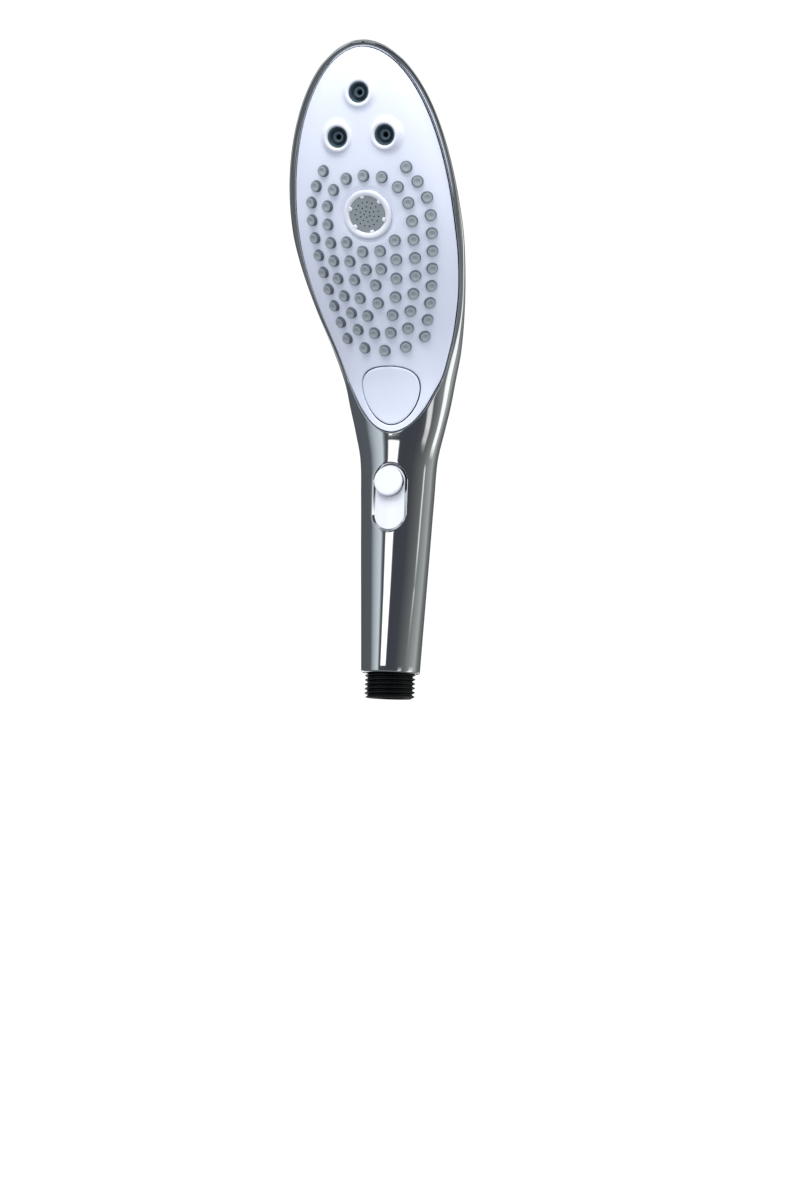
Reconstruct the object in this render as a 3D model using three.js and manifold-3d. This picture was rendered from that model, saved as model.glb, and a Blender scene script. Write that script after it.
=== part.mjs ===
// Handheld shower head with a handle, a tilted oval spray head, a select button and a flow slider.
// Millimetres, +Z up along the handle, -Y towards the spray side, +X to the right seen from the front.
// The origin is the centre of the inlet connector's lower end face.
import * as THREE from 'three'
import { mergeVertices } from 'three/addons/utils/BufferGeometryUtils.js'
import Module from 'manifold-3d'

const wasm = await Module()
wasm.setup()

// ---- driving dimensions ----
const GAP = 0.35                    // clearance between neighbouring pieces
const HANDLE_BOTTOM = 10.4          // lower edge of the chrome handle
const HEAD_TOP = 258.6              // highest point of the head
const HEAD_WIDEST = 188             // height where the head is widest
const WALL = 2.2                    // housing wall
const FRONT_Y = -11.4               // straight front line of the handle
const PLATE_TOP = 255.4             // spray faceplate, top of its outline
const PLATE_TIP = 110               // spray faceplate, lower tip
const PLATE_T = 2.4                 // spray faceplate thickness
const MAT_DEPTH = [3.7, 4.7]        // nozzle mat base, measured back from the face
const DIST_DEPTH = [5.6, 7.3]       // distribution plate
const NOZZLE_R = 2.5                // spray nozzles: root, tip and height above the face
const NOZZLE_TIP_R = 1.85
const NOZZLE_RISE = 1.8
const HOLE_R = 3.2                  // faceplate holes round the nozzles
const JET_R = 3.6                   // the three large jets and their bosses
const JET_BOSS_R = 5.6
const JETS = { top: [0, 236.9], left: [-9.9, 220.6], right: [9.9, 220.6] }
const CENTRE_Z = 191.6              // centre spray insert
const CENTRE_RING_R = 10.1
const CENTRE_DISC_R = 7.6
const BUTTON_Z = 125.4              // middle of the select button
const THREAD_R = 10.4775            // G 1/2 pipe thread, 14 turns per inch
const THREAD_DEPTH = 1.16
const THREAD_PITCH = 1.814
const BORE_R = 6.6                  // inlet bore
const SLOT = { low: 69.7, high: 96.2, r: 6.5 }  // slider opening
const KNOB_Z = 89.3
const KNOB_R = 6.1
const SLIDE_TRAVEL = 12.2           // the slider moves down this far
const VALVE_Y = -2                  // axis of the throttle bore
const HEAD_TILT = THREE.MathUtils.degToRad(28.8)
const DIVERTER = { z: 185, depth: 8.9, r: 11, teeth: 12, toothR: 5.9, rootR: 4.3 }

// ---- small tools ----
const V = (x, y, z) => new THREE.Vector3(x, y, z)

// smooth curve through hand-chosen [position, value] pairs
function through(points) {
  const slope = i => {
    const a = points[Math.max(i - 1, 0)]
    const b = points[Math.min(i + 1, points.length - 1)]
    return (b[1] - a[1]) / (b[0] - a[0])
  }
  return s => {
    if (s <= points[0][0]) return points[0][1]
    if (s >= points.at(-1)[0]) return points.at(-1)[1]
    const i = points.findIndex(p => p[0] > s) - 1
    const h = points[i + 1][0] - points[i][0]
    const t = (s - points[i][0]) / h
    const [m0, m1] = [slope(i) * h, slope(i + 1) * h]
    return (2 * t ** 3 - 3 * t ** 2 + 1) * points[i][1] + (t ** 3 - 2 * t ** 2 + t) * m0 +
      (3 * t ** 2 - 2 * t ** 3) * points[i + 1][1] + (t ** 3 - t ** 2) * m1
  }
}

// closed body through rings of equal length that run anticlockwise seen from above
function loft(rings) {
  const n = rings[0].length
  const positions = rings.flat().flatMap(p => [p.x, p.y, p.z])
  const index = []
  for (let k = 0; k < rings.length - 1; k++) {
    for (let i = 0; i < n; i++) {
      const j = (i + 1) % n
      const [a, b, c, d] = [k * n + i, k * n + j, (k + 1) * n + j, (k + 1) * n + i]
      index.push(a, b, c, a, c, d)
    }
  }
  // each end is closed by bands between the ring's first and second halves
  const top = (rings.length - 1) * n
  for (let i = 0; i < n / 2 - 1; i++) {
    const [a, b, c, d] = [i, i + 1, n - 2 - i, n - 1 - i]
    index.push(c, b, a, d, c, a)
    index.push(top + a, top + b, top + c, top + a, top + c, top + d)
  }
  const g = new THREE.BufferGeometry()
  g.setAttribute('position', new THREE.Float32BufferAttribute(positions, 3))
  g.setIndex(index)
  return g
}

function solid(geometry) {
  const g = geometry.clone()
  g.deleteAttribute('normal')
  g.deleteAttribute('uv')
  const m = mergeVertices(g, 1e-4)
  const vertProperties = new Float32Array(m.attributes.position.array)
  return new wasm.Manifold(new wasm.Mesh({
    numProp: 3, vertProperties, triVerts: new Uint32Array(m.index.array) }))
}

function geometryOf(body) {
  const m = body.getMesh()
  const g = new THREE.BufferGeometry()
  g.setAttribute('position', new THREE.Float32BufferAttribute(m.vertProperties, 3))
  g.setIndex(new THREE.BufferAttribute(m.triVerts, 1))
  return g
}

// round piece about local Z from a closed [radius, height] outline
function turned(outline, segments = 24, matrix = new THREE.Matrix4()) {
  const points = outline.map(p => new THREE.Vector2(...p))
  if (outline[0][0] > 0) points.push(points[0].clone())
  const g = new THREE.LatheGeometry(points, segments)
  g.rotateX(Math.PI / 2)
  return solid(g.applyMatrix4(matrix))
}

const disc = (r, low, high, segments, matrix) =>
  turned([[0, low], [r, low], [r, high], [0, high]], segments, matrix)
const tube = (r0, r1, low, high, segments, matrix) =>
  turned([[r0, low], [r1, low], [r1, high], [r0, high]], segments, matrix)

function box(size, centre, matrix = new THREE.Matrix4()) {
  const g = new THREE.BoxGeometry(...size)
  g.translate(...centre)
  return solid(g.applyMatrix4(matrix))
}

function oRing(r, thickness, z, matrix = new THREE.Matrix4(), sides = 16) {
  const g = new THREE.TorusGeometry(r, thickness / 2, 4, sides)
  g.translate(0, 0, z)
  return solid(g.applyMatrix4(matrix))
}

const shift = (x, y, z) => new THREE.Matrix4().makeTranslation(x, y, z)

// ---- the outer shape, as horizontal sections ----
const sideWidth = through([[10, 12.2], [35, 13.4], [60, 14.6], [85, 15.7], [100, 16.6], [112, 19.3],
  [122, 21.8], [132, 24], [145, 27.9], [160, 32.2], [175, 35.3], [HEAD_WIDEST, 36.6], [201, 36]])
const rimY = through([[10, 0], [60, 0.2], [90, 0.5], [112, 0], [122, -0.8], [132, -2.4], [145, -8],
  [160, -19.5], [175, -31.2], [190, -41.5], [205, -49.6], [220, -56], [235, -61.5], [250, -66.6],
  [HEAD_TOP, -69.2]])
const frontCurve = through([[106, FRONT_Y], [114, -12.1], [122, -14.3], [132, -18.3], [145, -25.4],
  [160, -35], [175, -44], [190, -52], [205, -58.8], [220, -64.3], [235, -68.4], [250, -70.4],
  [HEAD_TOP, -70.4]])
const frontPower = through([[60, 0.5], [112, 0.5], [150, 0.75], [190, 1.05], [235, 1.05]])
const backDepth = through([[10, 12.2], [60, 12.6], [90, 12.6], [128, 12.4], [165, 12.4], [210, 11]])

function bodyWidth(z) {
  if (z < HEAD_WIDEST) return sideWidth(z)
  const s = (z - HEAD_WIDEST) / (HEAD_TOP - HEAD_WIDEST)
  return sideWidth(HEAD_WIDEST) * Math.sqrt(Math.max(1 - s * s, 0))
}

function frontAt(z) {
  if (z > 106) return frontCurve(z)
  return z > 45 ? FRONT_Y : -12.2 + (12.2 + FRONT_Y) * (z - 10) / 35
}

function backAt(z) {
  const s = Math.max(z - 210, 0) / (HEAD_TOP - 210)
  return rimY(z) + backDepth(z) * Math.sqrt(Math.max(1 - s ** 4, 0))
}

// y of the front surface at any x and z
function faceY(x, z) {
  const w = bodyWidth(z)
  const across = Math.max(1 - (x / w) ** 2, 0)
  return rimY(z) + (frontAt(z) - rimY(z)) * across ** frontPower(z)
}

function bodyRing(z, inset, count) {
  const w = bodyWidth(z) - inset
  return Array.from({ length: count }, (_, i) => {
    const a = 2 * Math.PI * i / count
    const [c, s] = [Math.cos(a), Math.sin(a)]
    const reach = s < 0 ? rimY(z) - frontAt(z) - inset : backAt(z) - rimY(z) - inset
    const power = s < 0 ? 2 * frontPower(z) : 1
    return V(w * c, rimY(z) + Math.sign(s) * reach * Math.abs(s) ** power, z)
  })
}

// heights that crowd together towards the rounded top end
function heights(low, mid, high, lower, upper) {
  const first = Array.from({ length: lower }, (_, i) => low + (mid - low) * i / lower)
  const second = Array.from({ length: upper + 1 }, (_, i) =>
    mid + (high - mid) * Math.sin(i / upper * Math.PI / 2))
  second[upper] = high - 0.03
  return [...first, ...second]
}

const outerBody = solid(loft(heights(HANDLE_BOTTOM, 176, HEAD_TOP, 12, 8).map(z => bodyRing(z, 0, 24))))
const cavityOf = inset => solid(loft(
  heights(28, 176, HEAD_TOP - 4 - inset, 9, 6).map(z => bodyRing(z, inset, 16))))
const cavity = cavityOf(WALL)
const inner = cavityOf(WALL + 0.5)

// ---- slabs that follow the front surface inside the faceplate outline ----
const plateSide = through([[PLATE_TIP, 0], [111, 3.8], [114.2, 8.8], [120, 13.8], [126, 17.2], [133, 20.8],
  [142, 24], [152, 27.5], [165, 31.2], [178, 33.2], [HEAD_WIDEST, 33.5], [200, 33.1]])

function plateWidth(z, grow) {
  if (z < HEAD_WIDEST) return Math.max(plateSide(Math.max(z, PLATE_TIP)) + grow, 0.5)
  const s = (z - HEAD_WIDEST) / (PLATE_TOP + grow - HEAD_WIDEST)
  return (plateSide(HEAD_WIDEST) + grow) * Math.sqrt(Math.max(1 - s * s, 0))
}

function faceSlab(low, high, grow, near, far, columns = 6, rows = 14) {
  const rings = Array.from({ length: rows + 1 }, (_, k) => {
    const t = (1 - Math.cos(Math.PI * k / rows)) / 2
    const z = THREE.MathUtils.clamp(low + (high - low) * t, low + 0.02, high - 0.05)
    const w = plateWidth(z, grow)
    const across = Array.from({ length: columns + 1 }, (_, j) => w * (2 * j / columns - 1))
    return [...across.map(x => V(x, faceY(x, z) + near, z)),
      ...across.reverse().map(x => V(x, faceY(x, z) + far, z))]
  })
  return solid(loft(rings))
}

// a frame on the front surface whose Z points straight out of it
function faceFrame(x, z) {
  const e = 0.5
  const dx = (faceY(x + e, z) - faceY(x - e, z)) / (2 * e)
  const dz = (faceY(x, z + e) - faceY(x, z - e)) / (2 * e)
  const out = V(dx, -1, dz).normalize()
  const right = V(1, 0, 0).addScaledVector(out, -out.x).normalize()
  const up = out.clone().cross(right)
  return new THREE.Matrix4().makeBasis(right, up, out).setPosition(x, faceY(x, z), z)
}

// the head's own frame: X right, Y up the face, Z out of the face
const headOut = V(0, -Math.cos(HEAD_TILT), -Math.sin(HEAD_TILT))
const headUp = V(0, -Math.sin(HEAD_TILT), Math.cos(HEAD_TILT))
const headFrame = new THREE.Matrix4().makeBasis(V(1, 0, 0), headUp, headOut)
  .setPosition(0, faceY(0, DIVERTER.z), DIVERTER.z)

// ---- nozzle places: runs of equal spacing along the face, mirrored ----
const nozzleRuns = [
  { points: [[17.4, 208.8], [24.3, 198.3], [24.8, 185.4], [23.2, 172.6], [20.5, 160.1], [16.6, 147.7]],
    count: 11 },
  { points: [[8.8, 143.4], [0, 142]], count: 2 },
  { points: [[0, 205.7], [7.5, 205], [13.6, 201.3], [17.2, 195.2], [17.5, 181.9], [16.4, 169],
    [12.6, 156.5], [10.7, 150.3]], count: 11 },
  { points: [[3.5, 148.6]], count: 1 },
  { points: [[10.2, 182], [9.8, 174.7], [7.5, 161.4], [5.3, 155]], count: 5 },
  { points: [[3.7, 178.2], [3.2, 171.7]], count: 2 },
  { points: [[0, 165.9], [0, 159.4]], count: 2 },
]
function runPlaces({ points, count }) {
  if (count === 1) return points
  const curve = new THREE.CatmullRomCurve3(points.map(([x, z]) => V(x, faceY(x, z), z)))
  return curve.getSpacedPoints(count - 1).map(p => [p.x, p.z])
}
const nozzles = nozzleRuns.flatMap(runPlaces).flatMap(([x, z]) =>
  Math.abs(x) < 0.1 ? [[0, z]] : [[x, z], [-x, z]])

// ---- the assembly ----
const assembly = new THREE.Group()
function add(name, body, colour, roughness, metalness = 0) {
  const geometry = body.isBufferGeometry ? body : geometryOf(body)
  const material = new THREE.MeshStandardMaterial({ color: colour, roughness, metalness })
  const mesh = new THREE.Mesh(geometry, material)
  mesh.name = name
  assembly.add(mesh)
}
const CHROME = [0xd9dcdf, 0.08, 1]
const WHITE = [0xeef0f6, 0.3]
const GREY = [0x99a1a8, 0.6]
const SLATE = [0x3f4c55, 0.45]
const BLACK = [0x17181a, 0.5]
const NATURAL = [0xdcd9cf, 0.5]
const RUBBER = [0x202224, 0.85]
const STEEL = [0xb9bcc0, 0.3, 1]

// ---- select button outline: a rounded triangle that points down ----
const buttonFrame = faceFrame(0, BUTTON_Z)
function buttonPrism(grow, low, high) {
  const s = new THREE.Shape()
  const [top, side, tip] = [11 + grow, 12.5 + grow, 13 + grow]
  s.moveTo(0, top)
  s.bezierCurveTo(-side * 0.62, top, -side, top * 0.85, -side, 3.6)
  s.bezierCurveTo(-side, -3.6, -6.4 - grow, -tip, 0, -tip)
  s.bezierCurveTo(6.4 + grow, -tip, side, -3.6, side, 3.6)
  s.bezierCurveTo(side, top * 0.85, side * 0.62, top, 0, top)
  const g = new THREE.ExtrudeGeometry(s, { depth: high - low, bevelEnabled: false, curveSegments: 8 })
  g.translate(0, 0, low)
  return solid(g.applyMatrix4(buttonFrame))
}

// ---- chrome housing ----
function stadium(r, low, high, y0, y1) {
  const s = new THREE.Shape()
  s.absarc(0, low + r, r, Math.PI, 2 * Math.PI)
  s.absarc(0, high - r, r, 0, Math.PI)
  const g = new THREE.ExtrudeGeometry(s, { depth: y1 - y0, bevelEnabled: false, curveSegments: 12 })
  g.rotateX(Math.PI / 2)
  g.translate(0, y1, 0)
  return solid(g)
}

// the slider plate's curved section, swept straight along the handle
const SLIDER_ARC = 21
function sliderSweep(halfWidth, near, far, low, high) {
  const side = depth => Array.from({ length: 7 }, (_, i) => {
    const x = halfWidth * (i / 3 - 1)
    return V(x, FRONT_Y + depth + SLIDER_ARC - Math.sqrt(SLIDER_ARC ** 2 - x * x), 0)
  })
  const section = [...side(near), ...side(far).reverse()]
  return solid(loft([low, high].map(z => section.map(p => V(p.x, p.y, z)))))
}

const PLATE_REACH = [SLOT.low - 1, SLOT.high + 0.25 + SLIDE_TRAVEL]
const housing = outerBody
  .subtract(cavity)
  .subtract(disc(10.8, HANDLE_BOTTOM - 1, 30, 40))
  .subtract(faceSlab(PLATE_TIP - GAP, PLATE_TOP + GAP, GAP, -4, PLATE_T + GAP, 6, 10))
  .subtract(faceSlab(PLATE_TIP + 1.5, PLATE_TOP - 1.5, -1.5, 0, 5.5, 6, 10))
  .subtract(stadium(SLOT.r, SLOT.low, SLOT.high, -20, -6))
  .subtract(sliderSweep(8.1, 1.2, 4.5, PLATE_REACH[0] - SLIDE_TRAVEL - 0.6, PLATE_REACH[1] + 0.4))
add('housing_shell', housing, ...CHROME)

// ---- spray face ----
const jetFrames = Object.fromEntries(Object.entries(JETS).map(([k, p]) => [k, faceFrame(...p)]))
const centreFrame = faceFrame(0, CENTRE_Z)
let faceplate = faceSlab(PLATE_TIP, PLATE_TOP, 0, 0, PLATE_T, 6, 10)
for (const frame of Object.values(jetFrames)) {
  faceplate = faceplate
    .add(turned([[0, -1.5], [JET_BOSS_R, -1.5], [JET_BOSS_R, 0.3], [5, 1.1], [0, 1.1]], 20, frame))
    .subtract(disc(JET_R + GAP, -4, 4, 20, frame))
}
faceplate = faceplate.subtract(disc(CENTRE_RING_R + GAP, -5, 5, 28, centreFrame))
  .subtract(buttonPrism(0.45, -6, 6))
for (const p of nozzles) faceplate = faceplate.subtract(disc(HOLE_R, -5, 5, 4, faceFrame(...p)))
add('spray_faceplate', faceplate, ...WHITE)

let mat = faceSlab(140.5, 215, -4.6, ...MAT_DEPTH, 6, 6).subtract(disc(11.4, -8, 3, 20, centreFrame))
const jetKeepOut = ['left', 'right'].map(k => disc(JET_R + 1, -8, 3, 12, jetFrames[k]))
for (const keepOut of jetKeepOut) mat = mat.subtract(keepOut)
for (const p of nozzles) {
  mat = mat.add(turned([[0, -4], [NOZZLE_R, -4], [NOZZLE_R, 0.3], [NOZZLE_TIP_R, NOZZLE_RISE],
    [0, NOZZLE_RISE]], 4, faceFrame(...p)))
}
add('nozzle_mat', mat, ...GREY)

const gasket = faceSlab(PLATE_TIP + 6, PLATE_TOP - 2.4, -1.9, PLATE_T + 1, PLATE_T + 2, 6, 10)
  .subtract(faceSlab(PLATE_TIP + 9, PLATE_TOP - 4.2, -3.6, 0, 8, 6, 10))
  .subtract(buttonPrism(2.9, -9, 6))
  .intersect(inner)
add('face_gasket', gasket, ...RUBBER)

const screwPlaces = [[-11.5, 231.5], [11.5, 231.5], [-14.8, 137.8], [14.8, 137.8]]
let distribution = faceSlab(134.3, 246, -5, ...DIST_DEPTH, 6, 8)
  .subtract(buttonPrism(1.2, -14, 6))
  .subtract(disc(5, -9, 0, 16, centreFrame))
for (const p of screwPlaces) distribution = distribution.subtract(disc(1.6, -12, 2, 8, faceFrame(...p)))
for (const p of Object.values(JETS)) distribution = distribution.subtract(disc(1.6, -12, 2, 8, faceFrame(...p)))
for (const p of nozzles.filter((_, i) => i % 7 === 1)) {
  distribution = distribution.subtract(disc(1.6, -12, 2, 5, faceFrame(...p)))
}
add('distribution_plate', distribution, ...NATURAL)
screwPlaces.forEach((p, i) => {
  const frame = faceFrame(...p)
  add(`chassis_screw_${i + 1}`, turned([[0, -8.9], [2.5, -8.9], [2.5, -7.4], [1.2, -7.4], [1.2, -3.6],
    [0, -3.6]], 10, frame), ...STEEL)
})

for (const [k, frame] of Object.entries(jetFrames)) {
  add(`jet_insert_${k}`, turned([[0.95, -3.6], [JET_R, -3.6], [JET_R, 0.5], [3.1, 0.5], [3.1, -1.2],
    [2.3, -1.2], [2.1, 0.2], [0.95, 0.2]], 12, frame), ...SLATE)
}

let ring = turned([[CENTRE_DISC_R + GAP, -2.6], [CENTRE_RING_R, -2.6], [CENTRE_RING_R, 0.4],
  [9.2, 1.2], [8.2, 0.9], [CENTRE_DISC_R + GAP, 0.2]], 28, centreFrame)
for (let k = 0; k < 6; k++) {
  const turn = centreFrame.clone().multiply(new THREE.Matrix4().makeRotationZ((41 + 60 * k) * Math.PI / 180))
  ring = ring.add(box([2.2, 1.7, 0.5], [7.2, 0, 0.45], turn))
}
add('centre_spray_ring', ring, ...WHITE)
let sprayDisc = disc(CENTRE_DISC_R, -2.6, -0.15, 24, centreFrame)
for (const [count, radius] of [[5, 1.4], [10, 3.7]]) {
  for (let k = 0; k < count; k++) {
    const a = 2 * Math.PI * (k + 0.5) / count
    const place = centreFrame.clone().multiply(shift(radius * Math.cos(a), radius * Math.sin(a), 0))
    sprayDisc = sprayDisc.subtract(disc(0.4, -4, 2, 4, place))
  }
}
add('centre_spray_disc', sprayDisc, ...GREY)

// ---- select button with its guide and spring ----
const STEM_R = 2
const button = buttonPrism(0, -4, 4).intersect(faceSlab(PLATE_TIP, 160, 2, -0.15, PLATE_T + 0.3, 6, 14))
  .add(disc(STEM_R, -13.4, -1.4, 12, buttonFrame))
add('select_button', button, ...WHITE)
const GUIDE_FLOOR = -9.7
const guideLegs = [-1, 1].map(side => box([1.3, 5, 3], [13.6 * side, 0, -9.1], buttonFrame))
add('button_guide', box([28.5, 5, 1.8], [0, 0, GUIDE_FLOOR], buttonFrame)
  .add(tube(STEM_R + 1, 6, GUIDE_FLOOR - 0.9, GUIDE_FLOOR + 2.2, 16, buttonFrame))
  .add(guideLegs[0]).add(guideLegs[1])
  .subtract(disc(STEM_R + 0.35, -16, -4, 12, buttonFrame))
  .subtract(tube(2.8, 5, GUIDE_FLOOR + 0.6, 0, 16, buttonFrame)), ...NATURAL)

// coil spring as a round wire swept along a helix
function coilSpring(r, wire, low, high, turns, matrix) {
  class Helix extends THREE.Curve {
    getPoint(t) {
      const a = 2 * Math.PI * turns * t
      return V(r * Math.cos(a), r * Math.sin(a), low + (high - low) * t)
    }
  }
  const s = new THREE.Shape()
  s.absarc(0, 0, wire / 2, 0, 2 * Math.PI)
  const g = new THREE.ExtrudeGeometry(s, { steps: 9 * turns, extrudePath: new Helix(), curveSegments: 3,
    bevelEnabled: false })
  return solid(g.applyMatrix4(matrix))
}
add('button_spring', coilSpring(4.2, 0.7, -8.6, -3.9, 4, buttonFrame), ...STEEL)

// ---- pawl that the button pushes up the face, and the diverter that it turns ----
const layer = d => -DIVERTER.depth - d
const diverterDisc = disc(DIVERTER.r, layer(2), layer(0), 24, headFrame)
const teeth = new THREE.Shape()
for (let k = 0; k < DIVERTER.teeth; k++) {
  const step = 2 * Math.PI / DIVERTER.teeth
  for (const [r, a] of [[DIVERTER.rootR, -0.3], [DIVERTER.toothR, -0.13], [DIVERTER.toothR, 0.13],
    [DIVERTER.rootR, 0.3]]) {
    const angle = step * k + a * step * 1.2
    const point = [r * Math.cos(angle), r * Math.sin(angle)]
    if (k === 0 && a === -0.3) teeth.moveTo(...point)
    else teeth.lineTo(...point)
  }
}
const star = new THREE.ExtrudeGeometry(teeth, { depth: 2, bevelEnabled: false })
star.translate(0, 0, layer(3.9))
let diverter = diverterDisc.add(solid(star.applyMatrix4(headFrame)))
  .subtract(disc(1.75, layer(6), layer(-1), 12, headFrame))
for (let k = 0; k < 4; k++) {
  const a = Math.PI / 2 * k + 0.3
  const place = headFrame.clone().multiply(shift(8 * Math.cos(a), 8 * Math.sin(a), 0))
  diverter = diverter.subtract(disc(1.5, layer(6), layer(-1), 8, place))
}
add('diverter_disc', diverter, ...NATURAL)
const CUP = 4.6
let cup = turned([[0, layer(CUP + 1.3)], [13, layer(CUP + 1.3)], [13, layer(0)], [11.4, layer(0)],
  [11.4, layer(CUP)], [1.4, layer(CUP)], [1.4, layer(0.6)], [0, layer(0.6)]], 28, headFrame)
cup = cup.subtract(box([3.4, 9, 4.4], [7.7, -11, layer(2.9)], headFrame))
add('diverter_housing', cup.intersect(inner), ...NATURAL)
add('diverter_seal_ring', tube(11.6, 12.8, layer(-0.3), layer(-0.8), 20, headFrame), ...RUBBER)

const pawlFoot = V(0, 0, -13.9).applyMatrix4(buttonFrame).applyMatrix4(headFrame.clone().invert())
const footEdge = [[0.2, -2.4], [10, -2.4], [10, 2.8], [7.4, 2.8], [7.4, 1.7], [4.3, 1.7]]
const footShape = new THREE.Shape(footEdge.map(p => new THREE.Vector2(...p)))
const foot = new THREE.ExtrudeGeometry(footShape, { depth: 11.4, bevelEnabled: false })
foot.applyMatrix4(new THREE.Matrix4().makeBasis(V(0, 1, 0), V(0, 0, 1), V(1, 0, 0)))
foot.translate(-2.7, pawlFoot.y, pawlFoot.z)
foot.applyMatrix4(headFrame)
const rodLow = pawlFoot.y + 8
add('shift_pawl', box([2, -1 - rodLow, 1.6], [7.7, (rodLow - 1) / 2, layer(2.95)], headFrame)
  .add(box([2.6, 0.7, 1.6], [6.1, -1.35, layer(2.95)], headFrame))
  .add(solid(foot)), ...NATURAL)

// ---- water path in the handle ----
const threadRings = []
const THREAD_ROWS = 17
const THREAD_TOP = 10
for (let k = 0; k <= THREAD_ROWS; k++) {
  const z = THREAD_TOP * k / THREAD_ROWS
  threadRings.push(Array.from({ length: 20 }, (_, i) => {
    const a = 2 * Math.PI * i / 20
    const phase = z / THREAD_PITCH - a / (2 * Math.PI)
    const wave = Math.abs(2 * (phase - Math.floor(phase)) - 1)
    const run = THREE.MathUtils.smoothstep(z, 0, 1.2)
    const r = THREAD_R - THREAD_DEPTH * THREE.MathUtils.clamp(1.3 * wave - 0.15, 0, 1) - 0.5 * (1 - run)
    return V(r * Math.cos(a), r * Math.sin(a), z)
  }))
}
const connector = solid(loft(threadRings))
  .add(turned([[0, 9], [10.4, 9], [10.4, 18], [9.1, 18], [9.1, 20.6], [10.4, 20.6], [10.4, 26], [0, 26]], 20))
  .subtract(disc(BORE_R, -1, 20, 20))
  .subtract(disc(4.6, 19, 27, 12))
add('inlet_connector', connector, ...BLACK)
add('connector_oring', oRing(9.95, 1.4, 19.3), ...RUBBER)
let filter = disc(6.25, 1, 2.4, 24)
for (const [count, radius] of [[1, 0], [8, 3.6]]) {
  for (let k = 0; k < count; k++) {
    const a = 2 * Math.PI * k / count
    filter = filter.subtract(disc(0.65, 0, 4, 6, shift(radius * Math.cos(a), radius * Math.sin(a), 0)))
  }
}
add('inlet_filter', filter, ...WHITE)
let regulator = turned([[0, 12], [6.2, 12], [6.2, 13.4], [5.3, 13.4], [5.3, 15], [6.2, 15], [6.2, 16.4],
  [0, 16.4]], 20)
for (let k = 0; k < 6; k++) {
  const a = Math.PI / 3 * k
  regulator = regulator.subtract(disc(0.8, 11, 18, 6, shift(3.2 * Math.cos(a), 3.2 * Math.sin(a), 0)))
}
add('flow_regulator', regulator, 0x6fae6a, 0.5)
add('regulator_oring', oRing(5.95, 0.9, 14.2), ...RUBBER)

const valveAt = shift(0, VALVE_Y, 0)
const VALVE_BORE = 5.2
const TUBE_Y = 5.8
const valveBody = turned([[0, 26.4], [7, 26.4], [7, 56], [0, 56]], 20, valveAt)
  .add(box([8.4, 8, 30], [0, 5.2, 45]))
  .subtract(disc(VALVE_BORE, 25, 51.5, 20, valveAt))
  .subtract(disc(1.9, 50, 58, 10, valveAt))
  .subtract(disc(3, 53, 61, 14, shift(0, TUBE_Y, 0)))
  .subtract(disc(1.9, 40, 54, 12, shift(0, TUBE_Y, 0)))
  .subtract(box([3, 4, 4], [0, 4, 42]))
add('valve_body', valveBody, ...NATURAL)
add('throttle_spool', turned([[0, 40], [4.9, 40], [4.9, 42], [4.05, 42], [4.05, 43.4], [4.9, 43.4],
  [4.9, 46.6], [4.05, 46.6], [4.05, 48], [4.9, 48], [4.9, 50], [0, 50]], 20, valveAt), ...WHITE)
add('spool_oring_lower', oRing(4.6, 0.9, 42.7, valveAt), ...RUBBER)
add('spool_oring_upper', oRing(4.6, 0.9, 47.3, valveAt), ...RUBBER)

// waterway from the valve up to the diverter, bent past the button on the left
const route = new THREE.CatmullRomCurve3([V(0, TUBE_Y, 53.4), V(0, TUBE_Y, 64), V(-1, 6.6, 90), V(-6, 4.6, 116),
  V(-9.5, -2, 137), V(-9.5, -12.5, 156), V(-7.5, -23.5, 172)])
const tubeOut = new THREE.Shape()
tubeOut.absarc(0, 0, 2.65, 0, 2 * Math.PI)
const tubeBore = new THREE.Path()
tubeBore.absarc(0, 0, 1.9, 0, 2 * Math.PI)
tubeOut.holes.push(tubeBore)
add('waterway_tube', solid(new THREE.ExtrudeGeometry(tubeOut, { steps: 18, extrudePath: route,
  curveSegments: 5, bevelEnabled: false })), ...NATURAL)

// ---- flow slider ----
const knob = turned([[0, 1.6], [KNOB_R, 1.6], [KNOB_R, 4.2], [5.4, 5], [0, 5.2]], 28,
  new THREE.Matrix4().makeRotationX(Math.PI / 2).setPosition(0, FRONT_Y + 2.9, KNOB_Z))
add('slider_knob', knob, ...WHITE)
const plate = sliderSweep(7.7, 1.55, 2.7, ...PLATE_REACH)
add('slider_plate', plate, ...WHITE)
add('throttle_link', box([5, 6.5, 8], [0, FRONT_Y + 6.45, 77])
  .add(disc(1.5, 50.35, 76, 10, valveAt)), ...NATURAL)

export default assembly
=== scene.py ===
import math

import bpy
import numpy as np
from mathutils import Matrix, Vector


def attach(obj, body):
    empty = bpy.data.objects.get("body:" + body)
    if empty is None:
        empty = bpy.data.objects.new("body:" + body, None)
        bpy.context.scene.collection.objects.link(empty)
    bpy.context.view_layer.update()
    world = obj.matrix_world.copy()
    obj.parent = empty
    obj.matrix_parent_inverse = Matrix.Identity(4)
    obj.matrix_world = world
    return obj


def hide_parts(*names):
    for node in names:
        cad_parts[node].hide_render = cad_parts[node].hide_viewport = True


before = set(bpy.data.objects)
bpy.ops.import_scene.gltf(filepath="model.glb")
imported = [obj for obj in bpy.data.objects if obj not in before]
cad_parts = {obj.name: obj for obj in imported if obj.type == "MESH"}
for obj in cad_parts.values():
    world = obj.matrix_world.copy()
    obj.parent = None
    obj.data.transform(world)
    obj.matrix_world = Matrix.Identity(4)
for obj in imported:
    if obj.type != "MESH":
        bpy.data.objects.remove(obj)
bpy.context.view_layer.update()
MM = 0.001

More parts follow.
